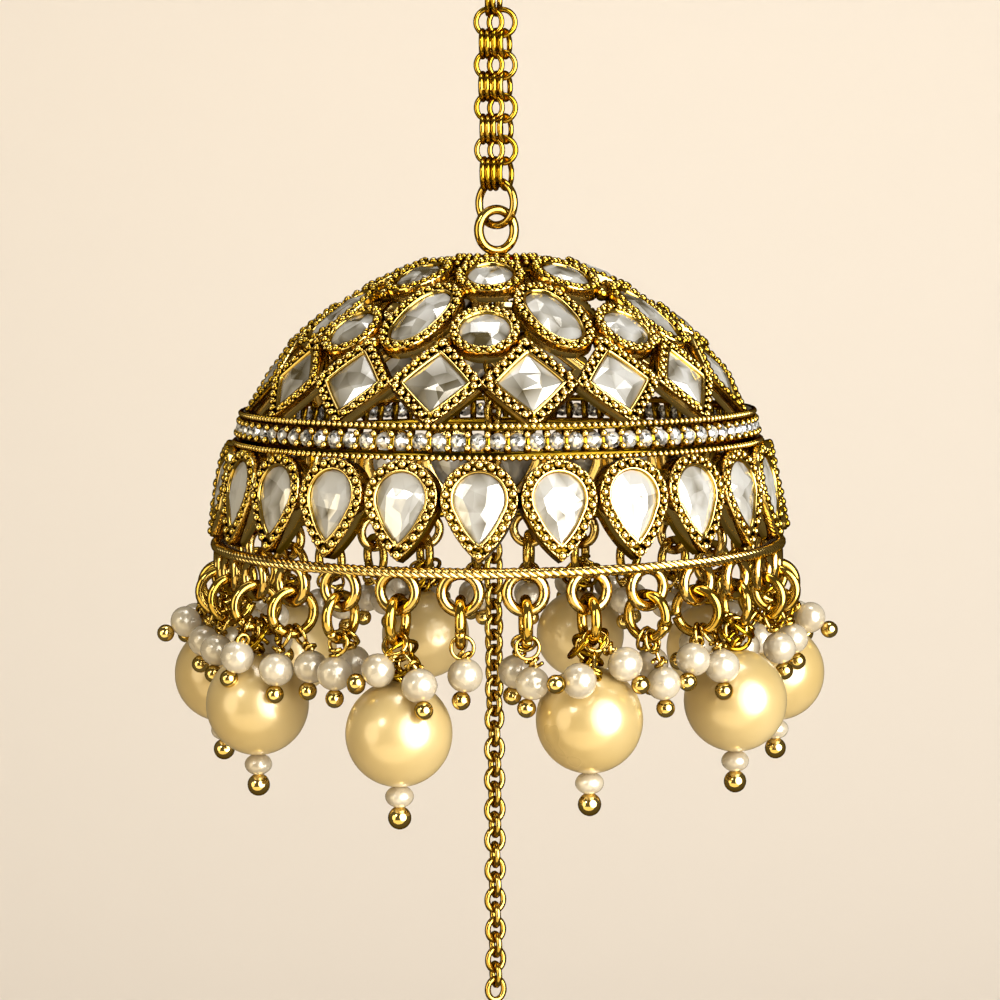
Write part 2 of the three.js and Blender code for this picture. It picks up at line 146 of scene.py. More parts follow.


# ---- shapes: (points, quads, tris, tone), closed, in millimetres; the tone paints light and shade ----
def closed(points, quads, tris, tone=None):
    """A closed shape, its faces turned outwards."""
    points = np.asarray(points, float)
    quads = np.asarray(quads, int).reshape(-1, 4)
    tris = np.asarray(tris, int).reshape(-1, 3)
    halves = np.vstack([quads[:, [0, 1, 2]], quads[:, [0, 2, 3]], tris])
    a, b, c = (points[halves[:, i]] for i in range(3))
    if np.einsum("ij,ij->i", a, np.cross(b, c)).sum() < 0:
        quads, tris = quads[:, ::-1], tris[:, ::-1]
    tone = np.full(len(points), 0.8) if tone is None else np.asarray(tone, float)
    return points, quads, tris, tone


def skin(rings, tones=None, caps=True, joined=False):
    """A shape over rings of equally many points. caps closes its ends with fans, joined makes it one loop."""
    rings = np.asarray(rings, float)
    many, around = rings.shape[:2]
    points = rings.reshape(-1, 3)
    here = np.arange(around)
    following = (here + 1) % around
    quads = []
    for i in range(many if joined else many - 1):
        j = (i + 1) % many
        corners = [i * around + here, i * around + following, j * around + following, j * around + here]
        quads.append(np.stack(corners, 1))
    tris = []
    tone = np.full(len(points), 0.8) if tones is None else np.repeat(tones, around)
    if not joined and caps:
        for ring, flip in ((0, True), (many - 1, False)):
            centre = len(points)
            points = np.vstack([points, rings[ring].mean(0)])
            tone = np.append(tone, tone[ring * around])
            fan = np.stack([ring * around + here, ring * around + following, np.full(around, centre)], 1)
            tris.append(fan[:, ::-1] if flip else fan)
    return closed(points, np.vstack(quads), np.vstack(tris) if tris else [], tone)


def sphere(radius, around=8, down=6, squash=1.0, dark=0.0):
    """A ball with poles on Z. Its tone rises from dark at the bottom to 1 at the top: painted shade below and
    a painted highlight on top.
    """
    height = radius * squash
    angles = np.pi * np.arange(1, down) / down
    turn = 2 * np.pi * np.arange(around) / around
    across, depth = radius * np.cos(turn), radius * np.sin(turn)
    levels = -height * np.cos(angles)
    rings = [np.stack([s * across, s * depth, z + 0 * turn], 1) for s, z in zip(np.sin(angles), levels)]
    points = np.vstack([*rings, [[0, 0, -height], [0, 0, height]]])
    here, following = np.arange(around), (np.arange(around) + 1) % around
    band_of_quads = np.stack([here, following, around + following, around + here], 1)
    quads = [i * around + band_of_quads for i in range(down - 2)]
    south, north = len(points) - 2, len(points) - 1
    last = (down - 2) * around
    tris = [
        np.stack([following, here, np.full(around, south)], 1),
        np.stack([last + here, last + following, np.full(around, north)], 1),
    ]
    tone = dark + (1 - dark) * (points[:, 2] / height + 1) / 2
    return closed(points, np.vstack(quads), np.vstack(tris), tone)


def unit(v):
    """The vector of length 1 that points along v."""
    v = np.asarray(v, float)
    return v / np.linalg.norm(v)


def tube(path, wire, sides=8, joined=False, tone=0.8):
    """Round wire along a path. wire is one radius, or one for each point."""
    path = np.asarray(path, float)
    many = len(path)
    if joined:
        ahead = np.roll(path, -1, 0) - np.roll(path, 1, 0)
    else:
        ahead = np.gradient(path, axis=0)
    ahead /= np.linalg.norm(ahead, axis=1)[:, None]
    first = np.cross(ahead[0], [0.31, 0.17, 0.93])
    normals = [unit(first)]
    for i in range(1, many):
        n = normals[-1] - ahead[i] * np.dot(normals[-1], ahead[i])
        normals.append(unit(n))
    normals = np.array(normals)
    if joined:  # spread the leftover twist along the loop
        back = unit(normals[-1] - ahead[0] * np.dot(normals[-1], ahead[0]))
        twist = math.atan2(np.dot(np.cross(back, normals[0]), ahead[0]), np.dot(back, normals[0]))
        share = twist * np.arange(many) / many
        across = np.cross(ahead, normals)
        normals = normals * np.cos(share)[:, None] + across * np.sin(share)[:, None]
    across = np.cross(ahead, normals)
    wire = np.broadcast_to(np.asarray(wire, float), (many,))
    turn = 2 * np.pi * np.arange(sides) / sides
    section = np.cos(turn)[None, :, None] * normals[:, None] + np.sin(turn)[None, :, None] * across[:, None]
    rings = path[:, None] + wire[:, None, None] * section
    return skin(rings, np.full(many, tone), joined=joined)


def circle(radius, steps, start=0.0, sweep=360.0, squeeze=1.0):
    """Points of a ring standing in the XZ plane, from its top, clockwise seen from -Y."""
    closed_ring = abs(sweep - 360) < 1e-6
    angle = np.radians(start + sweep * np.arange(steps) / (steps if closed_ring else steps - 1))
    return np.stack([radius * squeeze * np.sin(angle), 0 * angle, radius * np.cos(angle)], 1)


def ring(radius, wire, steps=28, sides=10, squeeze=1.0, tone=0.8):
    """A closed ring of wire standing in the XZ plane."""
    return tube(circle(radius, steps, squeeze=squeeze), wire, sides, joined=True, tone=tone)


def lathe(profile, steps, tones):
    """A ring of revolution about Z from a closed outline of (radius, height) points, with a tone for each."""
    profile = np.asarray(profile, float)
    turn = 2 * np.pi * np.arange(steps) / steps
    x, y = np.outer(np.sin(turn), profile[:, 0]), -np.outer(np.cos(turn), profile[:, 0])
    points, quads, tris, _ = skin(np.stack([x, y, np.tile(profile[:, 1], (steps, 1))], 2), joined=True)
    return points, quads, tris, np.tile(tones, steps)


# ---- places ----
def turned(degrees):
    """A turn about Z."""
    return np.array(Matrix.Rotation(math.radians(degrees), 4, "Z"))


def moved(x, y, z):
    """A shift."""
    return np.array(Matrix.Translation((x, y, z)))


def basis(side, up, front, at):
    """A place whose X, Y and Z run along side, up and front."""
    place = np.eye(4)
    place[:3, 0], place[:3, 1], place[:3, 2], place[:3, 3] = side, up, front, at
    return place


def face_place(top, bottom, azimuth):
    """A setting's front between two (radius, height) points: X along the rim, Y up the wall, Z outwards."""
    middle = ((top[0] + bottom[0]) / 2, (top[1] + bottom[1]) / 2)
    up = unit([0, bottom[0] - top[0], top[1] - bottom[1]])
    side = np.array([1.0, 0, 0])
    front = np.cross(side, up)
    return turned(azimuth) @ basis(side, up, front, (0, -middle[0], middle[1]))


def dome_height(r):
    """How high the dome stands at a distance from its axis."""
    share = min(r / DOME["radius"], 1)
    return DOME["foot"] + DOME["rise"] * (1 - share ** DOME["bulge"]) ** (1 / DOME["crown"])


class Gathering:
    """Shapes gathered into one mesh."""

    def __init__(self):
        self.points, self.quads, self.tris, self.tones, self.count = [], [], [], [], 0

    def add(self, shape, place=None):
        points, quads, tris, tone = shape
        if place is not None:
            points = points @ place[:3, :3].T + place[:3, 3]
        self.points.append(points)
        self.quads.append(quads + self.count)
        self.tris.append(tris + self.count)
        self.tones.append(tone)
        self.count += len(points)

    def piece(self, name, body, slot, material, replaces, smooth=True, lift=RIM_Z):
        """Makes the mesh, which rides body and stands for the CAD nodes in replaces."""
        points = (np.vstack(self.points) + [0, 0, lift]) * MM
        faces = np.vstack(self.quads).tolist() + np.vstack(self.tris).tolist()
        mesh = bpy.data.meshes.new(name)
        mesh.from_pydata(points.tolist(), [], faces)
        mesh.attributes.new("tone", "FLOAT", "POINT").data.foreach_set("value", np.concatenate(self.tones))
        mesh.polygons.foreach_set("use_smooth", np.full(len(faces), smooth))
        mesh.materials.append(material)
        mesh.update()
        obj = bpy.data.objects.new(name, mesh)
        bpy.context.scene.collection.objects.link(obj)
        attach(obj, body)
        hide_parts(*replaces)


# ---- materials ----
def material(name):
    """A new material with its nodes, links and shader."""
    made = bpy.data.materials.new(name)
    made.use_nodes = True
    nodes, links = made.node_tree.nodes, made.node_tree.links
    return made, nodes, links, nodes["Principled BSDF"]


def ramp(nodes, stops):
    """A colour ramp with stops of (position, colour)."""
    node = nodes.new("ShaderNodeValToRGB")
    elements = node.color_ramp.elements
    while len(elements) < len(stops):
        elements.new(0.5)
    for element, (position, colour) in zip(elements, stops):
        element.position = position
        element.color = (*colour, 1)
    return node


def noise(nodes, links, scale, detail=3.0):
    """A noise texture that stays on the object."""
    where = nodes.new("ShaderNodeTexCoord")
    node = nodes.new("ShaderNodeTexNoise")
    node.inputs["Scale"].default_value = scale
    node.inputs["Detail"].default_value = detail
    links.new(where.outputs["Object"], node.inputs["Vector"])
    return node


def bumped(nodes, links, shader, source, strength, distance):
    """Fine relief on a shader, from a texture."""
    bump = nodes.new("ShaderNodeBump")
    bump.inputs["Strength"].default_value = strength
    bump.inputs["Distance"].default_value = distance
    links.new(source.outputs["Fac"], bump.inputs["Height"])
    links.new(bump.outputs["Normal"], shader.inputs["Normal"])


def mapped(nodes, links, source, low, high):
    """A value from 0 to 1 brought to between low and high."""
    node = nodes.new("ShaderNodeMapRange")
    node.inputs["To Min"].default_value = low
    node.inputs["To Max"].default_value = high
    links.new(source, node.inputs["Value"])
    return node


def toned(nodes, links, drift, shades):
    """Shades picked by the mesh's tone, which holds painted light and shade, varied by drift."""
    tone = nodes.new("ShaderNodeAttribute")
    tone.attribute_name = "tone"
    total = nodes.new("ShaderNodeMath")
    total.operation = "ADD"
    total.use_clamp = True
    links.new(tone.outputs["Fac"], total.inputs[0])
    links.new(drift.outputs["Result"], total.inputs[1])
    colours = ramp(nodes, shades)
    links.new(total.outputs["Value"], colours.inputs["Fac"])
    return colours


def gold(name, dark, middle, bright, roughness):
    """Antique gold plate coloured by the mesh's tone: partly wear, bright where it stands proud, and partly
    painted light and shade, dark where the tone is low and a painted highlight where it is high.
    """
    made, nodes, links, shader = material(name)
    shader.inputs["Metallic"].default_value = 1.0
    shader.inputs["Specular Tint"].default_value = (0.22, 0.14, 0.05, 1)
    patches = noise(nodes, links, 420.0)
    drift = mapped(nodes, links, patches.outputs["Fac"], -0.16, 0.16)
    colours = toned(nodes, links, drift, [(0.0, dark), (0.5, middle), (1.0, bright)])
    links.new(colours.outputs["Color"], shader.inputs["Base Color"])
    grain = noise(nodes, links, 2600.0, 4.0)
    rough = mapped(nodes, links, grain.outputs["Fac"], roughness - 0.05, roughness + 0.09)
    links.new(rough.outputs["Result"], shader.inputs["Roughness"])
    bumped(nodes, links, shader, grain, 0.04, 0.00004)
    return made


def stone(name, shades, cells, metallic, roughness):
    """Foil-backed glass: a broken-up mirror under a clear polished top. Facets of low tone are in shade."""
    made, nodes, links, shader = material(name)
    shader.inputs["Metallic"].default_value = metallic
    shader.inputs["Transmission Weight"].default_value = 0.3
    shader.inputs["Specular IOR Level"].default_value = 0.35
    shader.inputs["Coat Weight"].default_value = 0.18
    shader.inputs["Coat Roughness"].default_value = 0.02
    where = nodes.new("ShaderNodeTexCoord")
    facets = nodes.new("ShaderNodeTexVoronoi")
    facets.inputs["Scale"].default_value = cells
    links.new(where.outputs["Object"], facets.inputs["Vector"])
    breaks = mapped(nodes, links, facets.outputs["Color"], -0.45, 0.45)
    colours = toned(nodes, links, breaks, shades)
    links.new(colours.outputs["Color"], shader.inputs["Base Color"])
    clouds = noise(nodes, links, cells, 2.0)
    rough = mapped(nodes, links, clouds.outputs["Fac"], roughness - 0.03, roughness + 0.06)
    links.new(rough.outputs["Result"], shader.inputs["Roughness"])
    bumped(nodes, links, shader, clouds, 0.08, 0.0002)
    return made


def pearl(name, deep, colour, scale, rough, dents):
    """Nacre: a lustrous body under a clear coat."""
    made, nodes, links, shader = material(name)
    clouds = noise(nodes, links, scale, 3.0)
    shades = ramp(nodes, [(0.3, deep), (0.7, colour)])
    links.new(clouds.outputs["Fac"], shades.inputs["Fac"])
    links.new(shades.outputs["Color"], shader.inputs["Base Color"])
    shader.inputs["Metallic"].default_value = 0.15
    shader.inputs["Coat Weight"].default_value = 0.8
    shader.inputs["Coat Roughness"].default_value = 0.12
    roughness = mapped(nodes, links, clouds.outputs["Fac"], rough - 0.06, rough + 0.08)
    links.new(roughness.outputs["Result"], shader.inputs["Roughness"])
    bumped(nodes, links, shader, noise(nodes, links, scale * 4, 2.0), dents, 0.0002)
    return made


# The dark, middle and bright shades go by tone: the dark one is painted shade and the bright one a painted
# highlight, mixed with wear.
antique_gold = gold("antique_gold", (0.02, 0.01, 0.0005), (0.335, 0.2, 0.011), (0.78, 0.585, 0.22), 0.09)
pale_gold = gold("pale_gold", (0.035, 0.02, 0.001), (0.39, 0.235, 0.013), (0.8, 0.61, 0.24), 0.08)
FOIL = [(0.0, (0.1, 0.075, 0.03)), (0.4, (0.46, 0.44, 0.385)), (0.8, (0.77, 0.77, 0.75))]
kundan = stone("kundan_stone", FOIL, 330.0, 0.24, 0.14)
GLITTER = [(0.0, (0.04, 0.04, 0.04)), (0.4, (0.4, 0.4, 0.4)), (0.55, (0.99, 0.99, 0.98))]
rhinestone = stone("rhinestone", GLITTER, 3600.0, 0.4, 0.05)
champagne = pearl("champagne_pearl", (0.55, 0.4, 0.155), (0.63, 0.485, 0.225), 90.0, 0.3, 0.02)
white = pearl("white_pearl", (0.44, 0.37, 0.26), (0.62, 0.565, 0.45), 300.0, 0.26, 0.55)


# ---- outlines: equally many points for every inset, anticlockwise ----
def oval_outline(half_width, half_height, power, steps=32):
    """An ellipse at power 2, fuller above it, and a rhombus near power 1."""
    diagonal = math.hypot(half_width, half_height)
    corner = max(0.0, min(1.0, 2 - power))  # 1 for a rhombus, 0 for an oval

    def outline(inset):
        w = half_width - inset * (1 - corner + corner * diagonal / half_height)
        h = half_height - inset * (1 - corner + corner * diagonal / half_width)
        angle = -2 * np.pi * np.arange(steps) / steps
        across, along = (np.sign(v) * np.abs(v) ** (2 / power) for v in (np.sin(angle), np.cos(angle)))
        return np.stack([w * across, h * along], 1)

    return outline


def pear_outline(radius, half_angle, bulge, steps=36):
    """A circle with two slightly full sides to a point below, centred between its top and its point."""
    half = math.radians(half_angle)
    drop = radius / math.sin(half)
    centre = (drop - radius) / 2
    sides = 7

    def outline(inset):
        r = radius - inset
        arc = np.linspace(-half, math.pi + half, steps - 2 * sides + 1)
        head = np.stack([r * np.cos(arc), centre + r * np.sin(arc)], 1)
        tip = np.array([0, centre - r / math.sin(half) + 0.4 * (1 - inset / PEARS["border"])])
        share = (np.arange(1, sides) / sides)[:, None]
        fuller = bulge * 4 * share * (1 - share) * r / radius
        left = head[-1] + (tip - head[-1]) * share + fuller * [-math.cos(half), -math.sin(half)]
        right = tip + (head[0] - tip) * share + fuller * [math.cos(half), -math.sin(half)]
        return np.vstack([[tip], right, head, left])

    return outline


def resampled(outline, many, start=0.0):
    """Points evenly spaced along a closed outline."""
    loop = np.vstack([outline, outline[:1]])
    steps = np.concatenate([[0], np.cumsum(np.linalg.norm(np.diff(loop, axis=0), axis=1))])
    at = (np.arange(many) + start) / many * steps[-1]
    return np.stack([np.interp(at, steps, loop[:, i]) for i in (0, 1)], 1), steps[-1]


def lifted(outline, z):
    """An outline at height z."""
    return np.column_stack([outline, np.full(len(outline), z)])


# ---- settings ----
def open_setting(outline, depth, border):
    """An open-backed setting: a wall with a lip, a sunk band for the beads, and a bezel round the stone."""
    # The tones are painted light and shade: dark in the sunk band and behind the bezel, bright on the lip,
    # the bezel's crest and the walls.
    section = [
        # inset, height, tone
        (0.0, -depth, 0.95),
        (0.0, -0.6, 0.9),
        (0.0, -0.1, 0.75),
        (0.03, 0.07, 0.9),
        (SETTING_LIP, 0.12, 0.85),
        (SETTING_LIP + 0.1, 0.04, 0.6),
        (SETTING_LIP + 0.16, -0.1, 0.08),
        (border - 0.4, -0.08, 0.08),
        (border - 0.33, 0.12, 0.6),
        (border - 0.2, 0.2, 0.85),
        (border - 0.05, 0.12, 0.7),
        (border, -0.1, 0.5),
        (border, -0.5, 0.2),
        (border + 0.12, -0.6, 0.2),
        (border + 0.12, -depth + 0.1, 0.8),
        (border + 0.02, -depth, 0.9),
    ]
    rings = [lifted(outline(inset), z) for inset, z, _ in section]
    return skin(rings, [tone for _, _, tone in section], joined=True)


def bead_row(gathering, outline, place, inset, radius, spacing, height):
    """Beads along a setting's border, with small grains in the gaps on both their sides."""
    _, length = resampled(outline(inset), 8)
    many = round(length / spacing)
    for away, share, size, around, down in (
        (0.0, 0.0, radius, 10, 7),
        (0.38, 0.5, 0.2, 6, 4),
        (-0.27, 0.5, 0.2, 6, 4),
    ):
        spots, _ = resampled(outline(inset + away), many, share)
        for x, y in spots:
            at = moved(x + rng.normal(0, 0.02), y + rng.normal(0, 0.02), height + rng.normal(0, 0.02))
            # Beads and grains are toned dark below and bright on top: painted shade in the gaps and a painted
            # highlight.
            bead = sphere(size * rng.uniform(0.93, 1.07), around, down, 0.85, dark=-0.8)
            gathering.add(bead, place @ at @ turned(rng.uniform(0, 45)))


def cut_stone(outline, border, sides, height, jitter, shade, depth=1.1, apex=0.3):
    """A faceted stone: a girdle, a ring of half as many corners and a small table, and a keel behind."""
    girdle, _ = resampled(outline(border - 0.04), sides)
    centre = girdle.mean(0)
    half = sides // 2
    spread = 0.62  # of the corners between the girdle and the table
    middle = centre + (girdle[1::2] - centre) * spread + rng.normal(0, jitter, (half, 2))
    table = centre + (middle[::2] - centre) * apex / spread + rng.normal(0, 1.4 * jitter, (half // 2, 2))
    keel = centre + (girdle[::2] - centre) * 0.5 + rng.normal(0, jitter, (half, 2))
    rim = lifted(girdle, -0.14)
    shoulder = np.column_stack([middle, height * 0.66 + rng.normal(0, 0.4 * jitter, half)])
    top = np.column_stack([table, height + rng.normal(0, 0.25 * jitter, half // 2)])
    below = np.column_stack([keel, -0.75 * depth + rng.normal(0, 0.4 * jitter, half)])
    crest_at = [*table.mean(0), top[:, 2].mean()]
    points = np.vstack([below, rim, shoulder, top, [[*centre, -depth]], [crest_at]])
    r, s, t = half, half + sides, 2 * half + sides
    base, crest = t + half // 2, t + half // 2 + 1
    tris = []
    for j in range(half):
        a, b, c = r + 2 * j, r + 2 * j + 1, r + (2 * j + 2) % sides
        here, after = s + j, s + (j + 1) % half
        tris += [[a, b, here], [b, c, here], [c, after, here]]
        here, after = j, (j + 1) % half
        tris += [[b, a, here], [c, b, here], [c, here, after], [after, here, base]]
    quarter = half // 2
    for k in range(quarter):
        a, b, c = s + 2 * k, s + 2 * k + 1, s + (2 * k + 2) % half
        here, after = t + k, t + (k + 1) % quarter
        tris += [[a, b, here], [b, c, after], [b, after, here]]
        tris.append([here, after, crest])
    tone = np.clip(rng.normal(shade, 0.25, len(points)), 0, 1)
    tone[[*range(half), base]] *= 0.5
    return closed(points, [], tris, tone)


# ---- the dome ----
settings, beads, stones = Gathering(), Gathering(), Gathering()
for count, step, inner, outer, half_width, power, border, sides, lean, lift in ROWS:
    top, bottom = (inner, dome_height(inner) + lift), (outer, dome_height(outer))
    outline = oval_outline(half_width, math.dist(top, bottom) / 2, power)
    for i in range(count):
        place = face_place(top, bottom, DOME_TURN + (i + step) * 360 / count) @ turned(lean * (-1) ** i)
        settings.add(open_setting(outline, SETTING_DEPTH, border), place)
        bead_row(beads, outline, place, inset=0.36, radius=0.41, spacing=1.1, height=0.12)
        jitter = 0.16 if sides == 16 else 0.1
        stones.add(cut_stone(outline, border, sides, height=0.5, jitter=jitter, shade=0.42), place)

# Solder beads bridge the gaps between rows, behind the faces.
for radius_at, away, radius in SOLDER:
    for i in range(SOLDER_COUNT):
        azimuth = DOME_TURN + (i + 0.5) * 360 / SOLDER_COUNT + away * (-1) ** i
        at = turned(azimuth) @ moved(0, -radius_at, dome_height(radius_at) - SOLDER_DEPTH)
        settings.add(sphere(radius, 10, 8), at)

settings.add(lathe(CROWN, 48, CROWN_LIGHT_AND_SHADE_TONES))
for radius, height, many in CROWN_BEADS:
    for i in range(many):
        place = turned((i + rng.uniform(-0.1, 0.1)) * 360 / many) @ moved(0, -radius, height)
        beads.add(sphere(0.36, 8, 6, dark=-0.25), place)
settings.add(
    ring(TOP_LOOP["radius"], TOP_LOOP["wire"] - FINER_TOP_LOOP, 40, 12, TOP_LOOP["squeeze"], 0.6),
    turned(TOP_LOOP["turn"]) @ moved(0, 0, TOP_LOOP["height"]),
)
inner_eye = ring(INNER_EYE["radius"], INNER_EYE["wire"], 20, 8)
settings.add(inner_eye, moved(LOWER_CHAIN["x"], 0, INNER_EYE["height"]))

settings.piece("dome_settings", "dome", "antique_gold", antique_gold, ["dome"])
beads.piece("dome_beads", "dome", "antique_gold", antique_gold, ["dome"])
stones.piece("dome_stones", "dome", "kundan_stone", kundan, ["dome"], smooth=False)

# ---- the band ----
FACING_OUT = np.array(Matrix.Rotation(math.pi / 2, 4, "X"))
band, band_beads, band_stones = Gathering(), Gathering(), Gathering()


def band_radius(z):
    """How far out the band's face stands at a height."""
    share = (z - BAND["bottom"]) / (BAND["top"] - BAND["bottom"])
    return BAND["bottom_radius"] + (BAND["top_radius"] - BAND["bottom_radius"]) * share


def rail(low, high):
    """A round-edged hoop of the band between two heights, toned dark as painted shade, darkest on its face.
    """
    outline = [(0.75, low), (0.1, low), (0.0, low + 0.1), (0.0, high - 0.1), (0.1, high), (0.75, high)]
    return lathe([(band_radius(z) - inset, z) for inset, z in outline], 144, [0.3, 0.2, 0.1, 0.1, 0.2, 0.3])


for low, high in BAND_RAILS:
    band.add(rail(low, high))
outline = oval_outline(BAND_STONES["radius"], BAND_STONES["radius"], 2.0, 24)
for i in range(BAND_STONES["count"]):
    azimuth = i * 360 / BAND_STONES["count"]
    top = BAND_MIDDLE + BAND_STONES["half_height"]
    bottom = BAND_MIDDLE - BAND_STONES["half_height"]
    place = face_place((band_radius(top), top), (band_radius(bottom), bottom), azimuth)
    cut = cut_stone(outline, 0.04, 16, height=0.3, jitter=0.03, shade=0.5, depth=0.5, apex=0.36)
    band_stones.add(cut, place)
    between = turned(azimuth + 180 / BAND_STONES["count"])
    heights = BAND_MIDDLE + BAND_BARS["half_height"] * np.array([-1, 0, 1])
    bar = [between[:3, :3] @ [0, BAND_BARS["sunk"] - band_radius(z), z] for z in heights]
    # The bars are toned dark: painted shade between the stones.
    band.add(tube(bar, BAND_BARS["wire"], 8, tone=0.3))
    for z in (BAND_MIDDLE - PRONGS["from_middle"], BAND_MIDDLE + PRONGS["from_middle"]):
        place = between @ moved(0, -band_radius(z) - BAND_BEAD_LIFT, z)
        band_beads.add(sphere(PRONGS["radius"], 8, 6, dark=-0.4), place @ FACING_OUT)
many = BAND_BEADS["count"]
for z in BAND_BEADS["heights"]:
    for i in range(many):
        place = turned((i + rng.uniform(-0.07, 0.07)) * 360 / many)
        place = place @ moved(0, -band_radius(z) - BAND_BEAD_LIFT, z)
        bead = sphere(BAND_BEADS["radius"] * rng.uniform(0.95, 1.05), 8, 6, dark=-0.4)
        band_beads.add(bead, place @ FACING_OUT)
band.piece("band", "dome", "antique_gold", antique_gold, ["dome"])
band_beads.piece("band_beads", "dome", "antique_gold", antique_gold, ["dome"])
band_stones.piece("band_stones", "dome", "kundan_stone", rhinestone, ["dome"], smooth=False)

# ---- the frieze of pears ----
frieze, frieze_beads, frieze_stones = Gathering(), Gathering(), Gathering()
outline = pear_outline(PEARS["round"], PEARS["tip"], PEARS["bulge"])
for i in range(PEARS["count"]):
    place = face_place(PEAR_TOP, PEAR_TIP, PEARS["phase"] + i * 360 / PEARS["count"])
    frieze.add(open_setting(outline, PEARS["depth"], PEARS["border"]), place)
    bead_row(frieze_beads, outline, place, inset=0.42, radius=0.43, spacing=1.12, height=0.1)
    cut = cut_stone(outline, PEARS["border"], 16, height=0.34, jitter=0.14, shade=0.74, depth=1.4)
    frieze_stones.add(cut, place)
frieze.piece("frieze_settings", "dome", "antique_gold", antique_gold, ["dome"])
frieze_beads.piece("frieze_beads", "dome", "antique_gold", antique_gold, ["dome"])
frieze_stones.piece("frieze_stones", "dome", "kundan_stone", kundan, ["dome"], smooth=False)

# ---- the rim ----
rope = Gathering()
steps = ROPE["turns"] * 12
angle = 2 * np.pi * np.arange(steps) / steps
for strand in np.pi * np.array([0.0, 0.5, 1.0, 1.5]):
    lay = ROPE["turns"] * angle + strand
    radius = ROPE["radius"] + ROPE["lay"] * np.cos(lay)
    path = np.stack([radius * np.sin(angle), -radius * np.cos(angle), -ROPE["lay"] * np.sin(lay)], 1)
    # The strands are toned pale: painted light.
    rope.add(tube(path, ROPE["strand"], 6, joined=True, tone=0.86))
rope.piece("rim_rope", "dome", "antique_gold", antique_gold, ["dome"])

loops = Gathering()
# The hoop is toned dark and the loops light: painted shade under the loops and painted light on them.
loops.add(lathe(RIM_HOOP, 144, [0.3, 0.35, 0.35, 0.3]))
loop_ring = ring(LOOPS["radius"], LOOPS["wire"], 28, 10, tone=0.75)
loop_numbers = range(-LOOPS["count"] // 2, LOOPS["count"] // 2)  # loop 0 is the one at FIRST_LOOP_AT
for loop in loop_numbers:
    place = turned(FIRST_LOOP_AT + loop * 360 / LOOPS["count"])
    loops.add(loop_ring, place @ moved(0, -LOOPS["circle"], LOOPS["height"]))
loops.piece("rim_loops", "dome", "antique_gold", antique_gold, ["dome"])

# ---- drops ----
# The drops' wires are toned to how lit they look, the nests darkest: painted light and shade.
jump_rings, wires, small_pearls, big_pearls, seeds = (Gathering() for _ in range(5))


def aligned(direction, at):
    """A place whose Z points along direction."""
    z = unit(direction)
    x = unit(np.cross([0.2, 1.0, 0.1], z))
    return basis(x, np.cross(z, x), z, at)


def wrap(start, end, radius, turns, flare, phase):
    """A few turns of wire round the line from start to end, its two ends standing out by flare."""
    place = aligned(np.subtract(end, start), start)
    length = math.dist(start, end)
    share = np.linspace(0, 1, int(turns * 24) + 1)
    around = 2 * np.pi * turns * share + phase
    reach = radius * (1 + 0.12 * np.sin(around * 0.6 + phase)) + flare * np.abs(2 * share - 1) ** 4
    path = np.stack([reach * np.cos(around), reach * np.sin(around), length * share], 1)
    return path @ place[:3, :3].T + place[:3, 3]


def wrapped_eye(hook, tangent, target, radius, wire, turns):
    """An eye held on a ring's wire at hook, and its wrapped neck down to target."""
    down = unit(target - hook)
    normal = unit(tangent - down * np.dot(tangent, down))
    side = np.cross(normal, down)
    reach = math.dist(hook, target)
    middle = hook + down * (radius - JUMP_RING["wire"] - wire - 0.04)
    foot = middle + down * radius
    angle = 2 * np.pi * np.arange(24) / 24
    loop = middle + radius * (np.cos(angle)[:, None] * down + np.sin(angle)[:, None] * side)
    wires.add(tube(loop, wire, 7, joined=True, tone=0.65))
    if math.dist(hook, foot) < reach:
        wires.add(tube(np.linspace(foot - 0.1 * down, target, 4), wire, 7))
    neck = max(0.55, min(0.8, reach - math.dist(hook, foot) + 0.4))
    lean = 0.12 * unit(rng.normal(0, 1, 3))
    start, end = target - down * neck + lean, target - 0.12 * down - lean
    path = wrap(start, end, 0.52, turns, 0.12, rng.uniform(0, 6))
    wires.add(tube(path, wire * 0.95, 6, tone=0.6))


